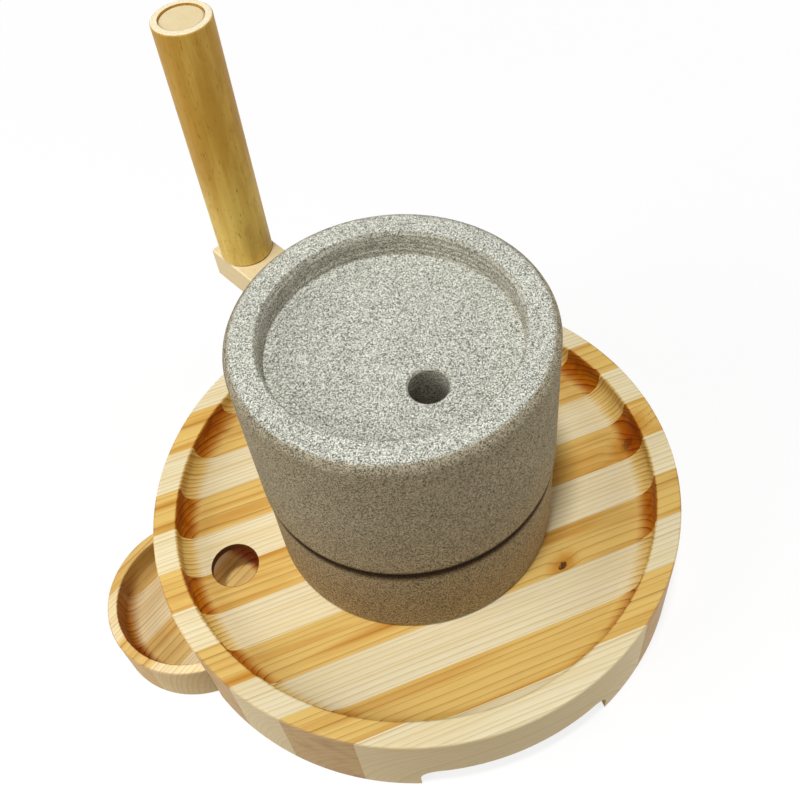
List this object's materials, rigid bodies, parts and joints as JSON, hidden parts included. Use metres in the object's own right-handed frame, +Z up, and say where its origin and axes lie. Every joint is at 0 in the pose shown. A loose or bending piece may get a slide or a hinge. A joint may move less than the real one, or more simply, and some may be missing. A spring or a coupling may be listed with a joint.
{
  "type": "stone coffee mill",
  "caption": "Hand-cranked stone coffee mill: a runner stone with a bean basin turns on a bed stone in a round tray of glued pine boards with a drop hole and a pull-out dish.",
  "frame": {"origin": "on the axis of the stones and of the tray, at the level of the table that the feet stand on", "axes": "+Z up along the axis of the stones, +X along the boards of the tray, away from the pull-out dish"},
  "size_m": [0.3475, 0.31, 0.3153],
  "materials": {
    "pale_pine": "satin",
    "honey_pine": "satin",
    "stone": "matte",
    "steel": "satin",
    "bronze": "satin",
    "beech": "matte",
    "bamboo": "satin"
  },
  "bodies": {
    "base": {"tray_board_01": "pale_pine", "tray_board_02": "honey_pine", "tray_board_03": "pale_pine", "tray_board_04": "honey_pine", "tray_board_05": "pale_pine", "tray_board_06": "honey_pine", "tray_board_07": "pale_pine", "tray_board_08": "honey_pine", "tray_board_09": "pale_pine", "tray_board_10": "honey_pine", "tray_board_11": "pale_pine", "tray_board_12": "honey_pine", "bed_stone": "stone", "bed_bush": "bronze"},
    "pin": {"centre_pin": "steel"},
    "runner": {"runner_stone": "stone", "runner_bush": "bronze", "crank_arm": "beech", "spindle": "beech"},
    "grip": {"grip_sleeve": "bamboo"},
    "dish": {"dish_board_1": "honey_pine", "dish_board_2": "pale_pine", "dish_board_3": "honey_pine", "dish_board_4": "pale_pine", "dish_board_5": "honey_pine"}
  },
  "joints": [
    {"name": "runner_spin", "type": "hinge", "parent": "base", "child": "pin", "pos_m": [0, 0, 0.1], "axis": [0, 0, 1], "continuous": true},
    {"name": "runner_lift", "type": "slide", "parent": "pin", "child": "runner", "axis": [0, 0, 1], "range_m": [0, 0.08]},
    {"name": "grip_spin", "type": "hinge", "parent": "runner", "child": "grip", "pos_m": [-0.04649, 0.1128, 0.2], "axis": [0, 0, 1], "continuous": true},
    {"name": "dish_slide", "type": "slide", "parent": "base", "child": "dish", "axis": [-1, 0, 0], "range_m": [-0.0375, 0.06]}
  ]
}
